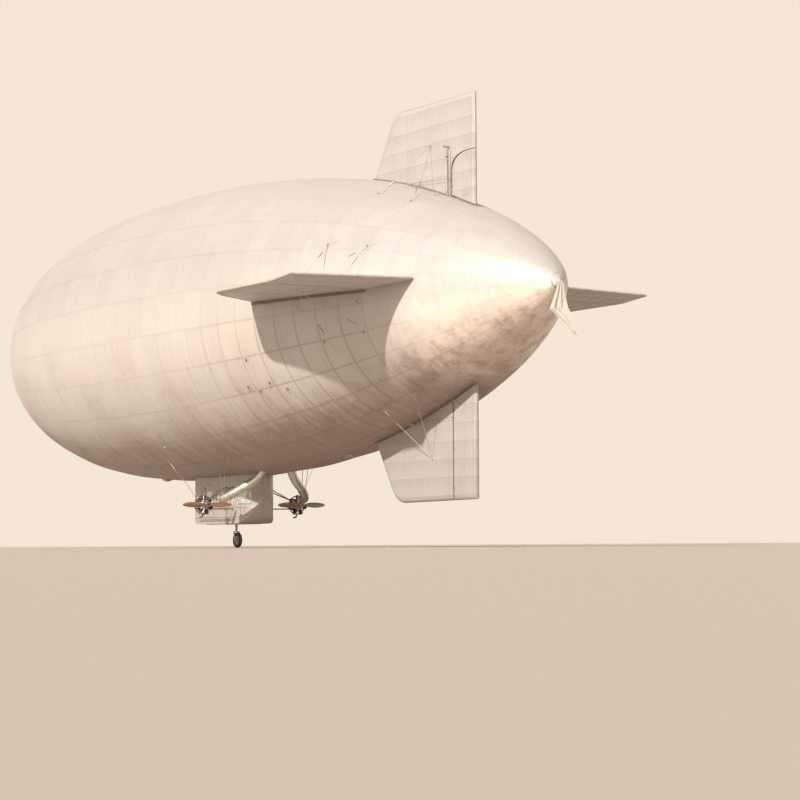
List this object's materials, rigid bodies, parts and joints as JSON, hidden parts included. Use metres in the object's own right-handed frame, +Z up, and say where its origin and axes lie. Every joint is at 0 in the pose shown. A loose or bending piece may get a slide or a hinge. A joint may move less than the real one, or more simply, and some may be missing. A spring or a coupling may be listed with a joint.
{
  "type": "non-rigid airship",
  "caption": "Non-rigid airship: a streamlined doped fabric hull, cruciform tail fins with rudders and elevators, a glazed car, pusher radial engines and a castoring landing wheel.",
  "frame": {"origin": "on the hull's axis at the centre of buoyancy, where the air holds the airship up", "axes": "+X forward to the nose, +Y to port, +Z up"},
  "size_m": [39.7869, 14.16, 15.18],
  "materials": {
    "doped_hull": "aluminium-doped cotton, satin, with seams, patches and soft wrinkles",
    "doped_fin": "aluminium-doped cotton over a rib frame, satin",
    "pennant_cloth": "thin undyed cloth, matt",
    "varnished_wood": "varnished spruce, satin",
    "propeller_wood": "varnished laminated wood, gloss, with metal tipping",
    "cast_fittings": "cast and spun aluminium, dull",
    "bare_aluminium": "rolled sheet, satin",
    "car_paint": "satin paint over sheet metal",
    "window_glass": "clear",
    "seat_leather": "stuffed leather, worn",
    "steel": "painted steel tube and wire",
    "engine_iron": "finned barrels, oily, with an aluminium crankcase",
    "tyre": "matt rubber"
  },
  "bodies": {
    "airship": {"envelope": "doped_hull", "nose_battens": "varnished_wood", "nose_cap": "cast_fittings", "stern_cap": "cast_fittings", "stern_pennant": "pennant_cloth", "gas_valve": "cast_fittings", "air_valve_front": "cast_fittings", "air_valve_rear": "cast_fittings", "fin_upper": "doped_fin", "fin_port": "doped_fin", "fin_lower": "doped_fin", "fin_starboard": "doped_fin", "stay_upper_starboard": "steel", "stay_upper_port": "steel", "stay_port_upper": "steel", "stay_port_lower": "steel", "stay_lower_port": "steel", "stay_lower_starboard": "steel", "stay_starboard_lower": "steel", "stay_starboard_upper": "steel", "car_tub": "car_paint", "car_nose": "car_paint", "car_tail": "car_paint", "car_side_port": "car_paint", "car_side_starboard": "car_paint", "car_roof": "car_paint", "windscreen": "window_glass", "windows_port": "window_glass", "windows_starboard": "window_glass", "window_tail_port": "window_glass", "window_tail_starboard": "window_glass", "seat_pilot": "seat_leather", "seat_mate": "seat_leather", "bench": "seat_leather", "elevator_wheel": "varnished_wood", "instrument_board": "varnished_wood", "hand_rail_port": "steel", "outrigger_port": "steel", "engine_port": "engine_iron", "engine_tank_port": "bare_aluminium", "air_scoop_port": "bare_aluminium", "hand_rail_starboard": "steel", "outrigger_starboard": "steel", "engine_starboard": "engine_iron", "engine_tank_starboard": "bare_aluminium", "air_scoop_starboard": "bare_aluminium"},
    "upper rudder": {"rudder_upper": "doped_fin"},
    "lower rudder": {"rudder_lower": "doped_fin"},
    "port elevator": {"elevator_port": "doped_fin"},
    "starboard elevator": {"elevator_starboard": "doped_fin"},
    "port propeller": {"propeller_port": "propeller_wood"},
    "starboard propeller": {"propeller_starboard": "propeller_wood"},
    "car door": {"door": "car_paint", "window_door": "window_glass"},
    "landing fork": {"castor_fork": "steel"},
    "landing wheel": {"landing_wheel": "tyre"}
  },
  "joints": [
    {"name": "lower_rudder_turn", "type": "hinge", "parent": "airship", "child": "lower rudder", "pos_m": [-14.99, 0, -5], "axis": [0, 0, 1], "range_deg": [-30, 30]},
    {"name": "upper_rudder_turn", "type": "hinge", "parent": "airship", "child": "upper rudder", "pos_m": [-14.99, 0, 4], "axis": [0, 0, 1], "range_deg": [-30, 30]},
    {"name": "port_elevator_turn", "type": "hinge", "parent": "airship", "child": "port elevator", "pos_m": [-14.99, 5, 0.19], "axis": [0, 1, 0], "range_deg": [-20, 30]},
    {"name": "starboard_elevator_turn", "type": "hinge", "parent": "airship", "child": "starboard elevator", "pos_m": [-14.99, -5, 0.19], "axis": [0, 1, 0], "range_deg": [-20, 30]},
    {"name": "port_propeller_spin", "type": "hinge", "parent": "airship", "child": "port propeller", "pos_m": [-0.58, 2.05, -6.7], "axis": [1, 0, 0], "continuous": true},
    {"name": "starboard_propeller_spin", "type": "hinge", "parent": "airship", "child": "starboard propeller", "pos_m": [-0.58, -2.05, -6.7], "axis": [1, 0, 0], "continuous": true},
    {"name": "door_swing", "type": "hinge", "parent": "airship", "child": "car door", "pos_m": [2.296, 0.762, -6.5], "axis": [0, 0, -1], "range_deg": [0, 100]},
    {"name": "landing_fork_swivel", "type": "hinge", "parent": "airship", "child": "landing fork", "pos_m": [0.99, 0, -7.5], "axis": [0, 0, 1], "continuous": true},
    {"name": "landing_wheel_spin", "type": "hinge", "parent": "landing fork", "child": "landing wheel", "pos_m": [0.9, 0, -8.05], "axis": [0, 1, 0], "continuous": true}
  ],
  "couplings": [
    {"joint": "upper_rudder_turn", "follows": "lower_rudder_turn", "ratio": 1},
    {"joint": "starboard_elevator_turn", "follows": "port_elevator_turn", "ratio": 1}
  ]
}
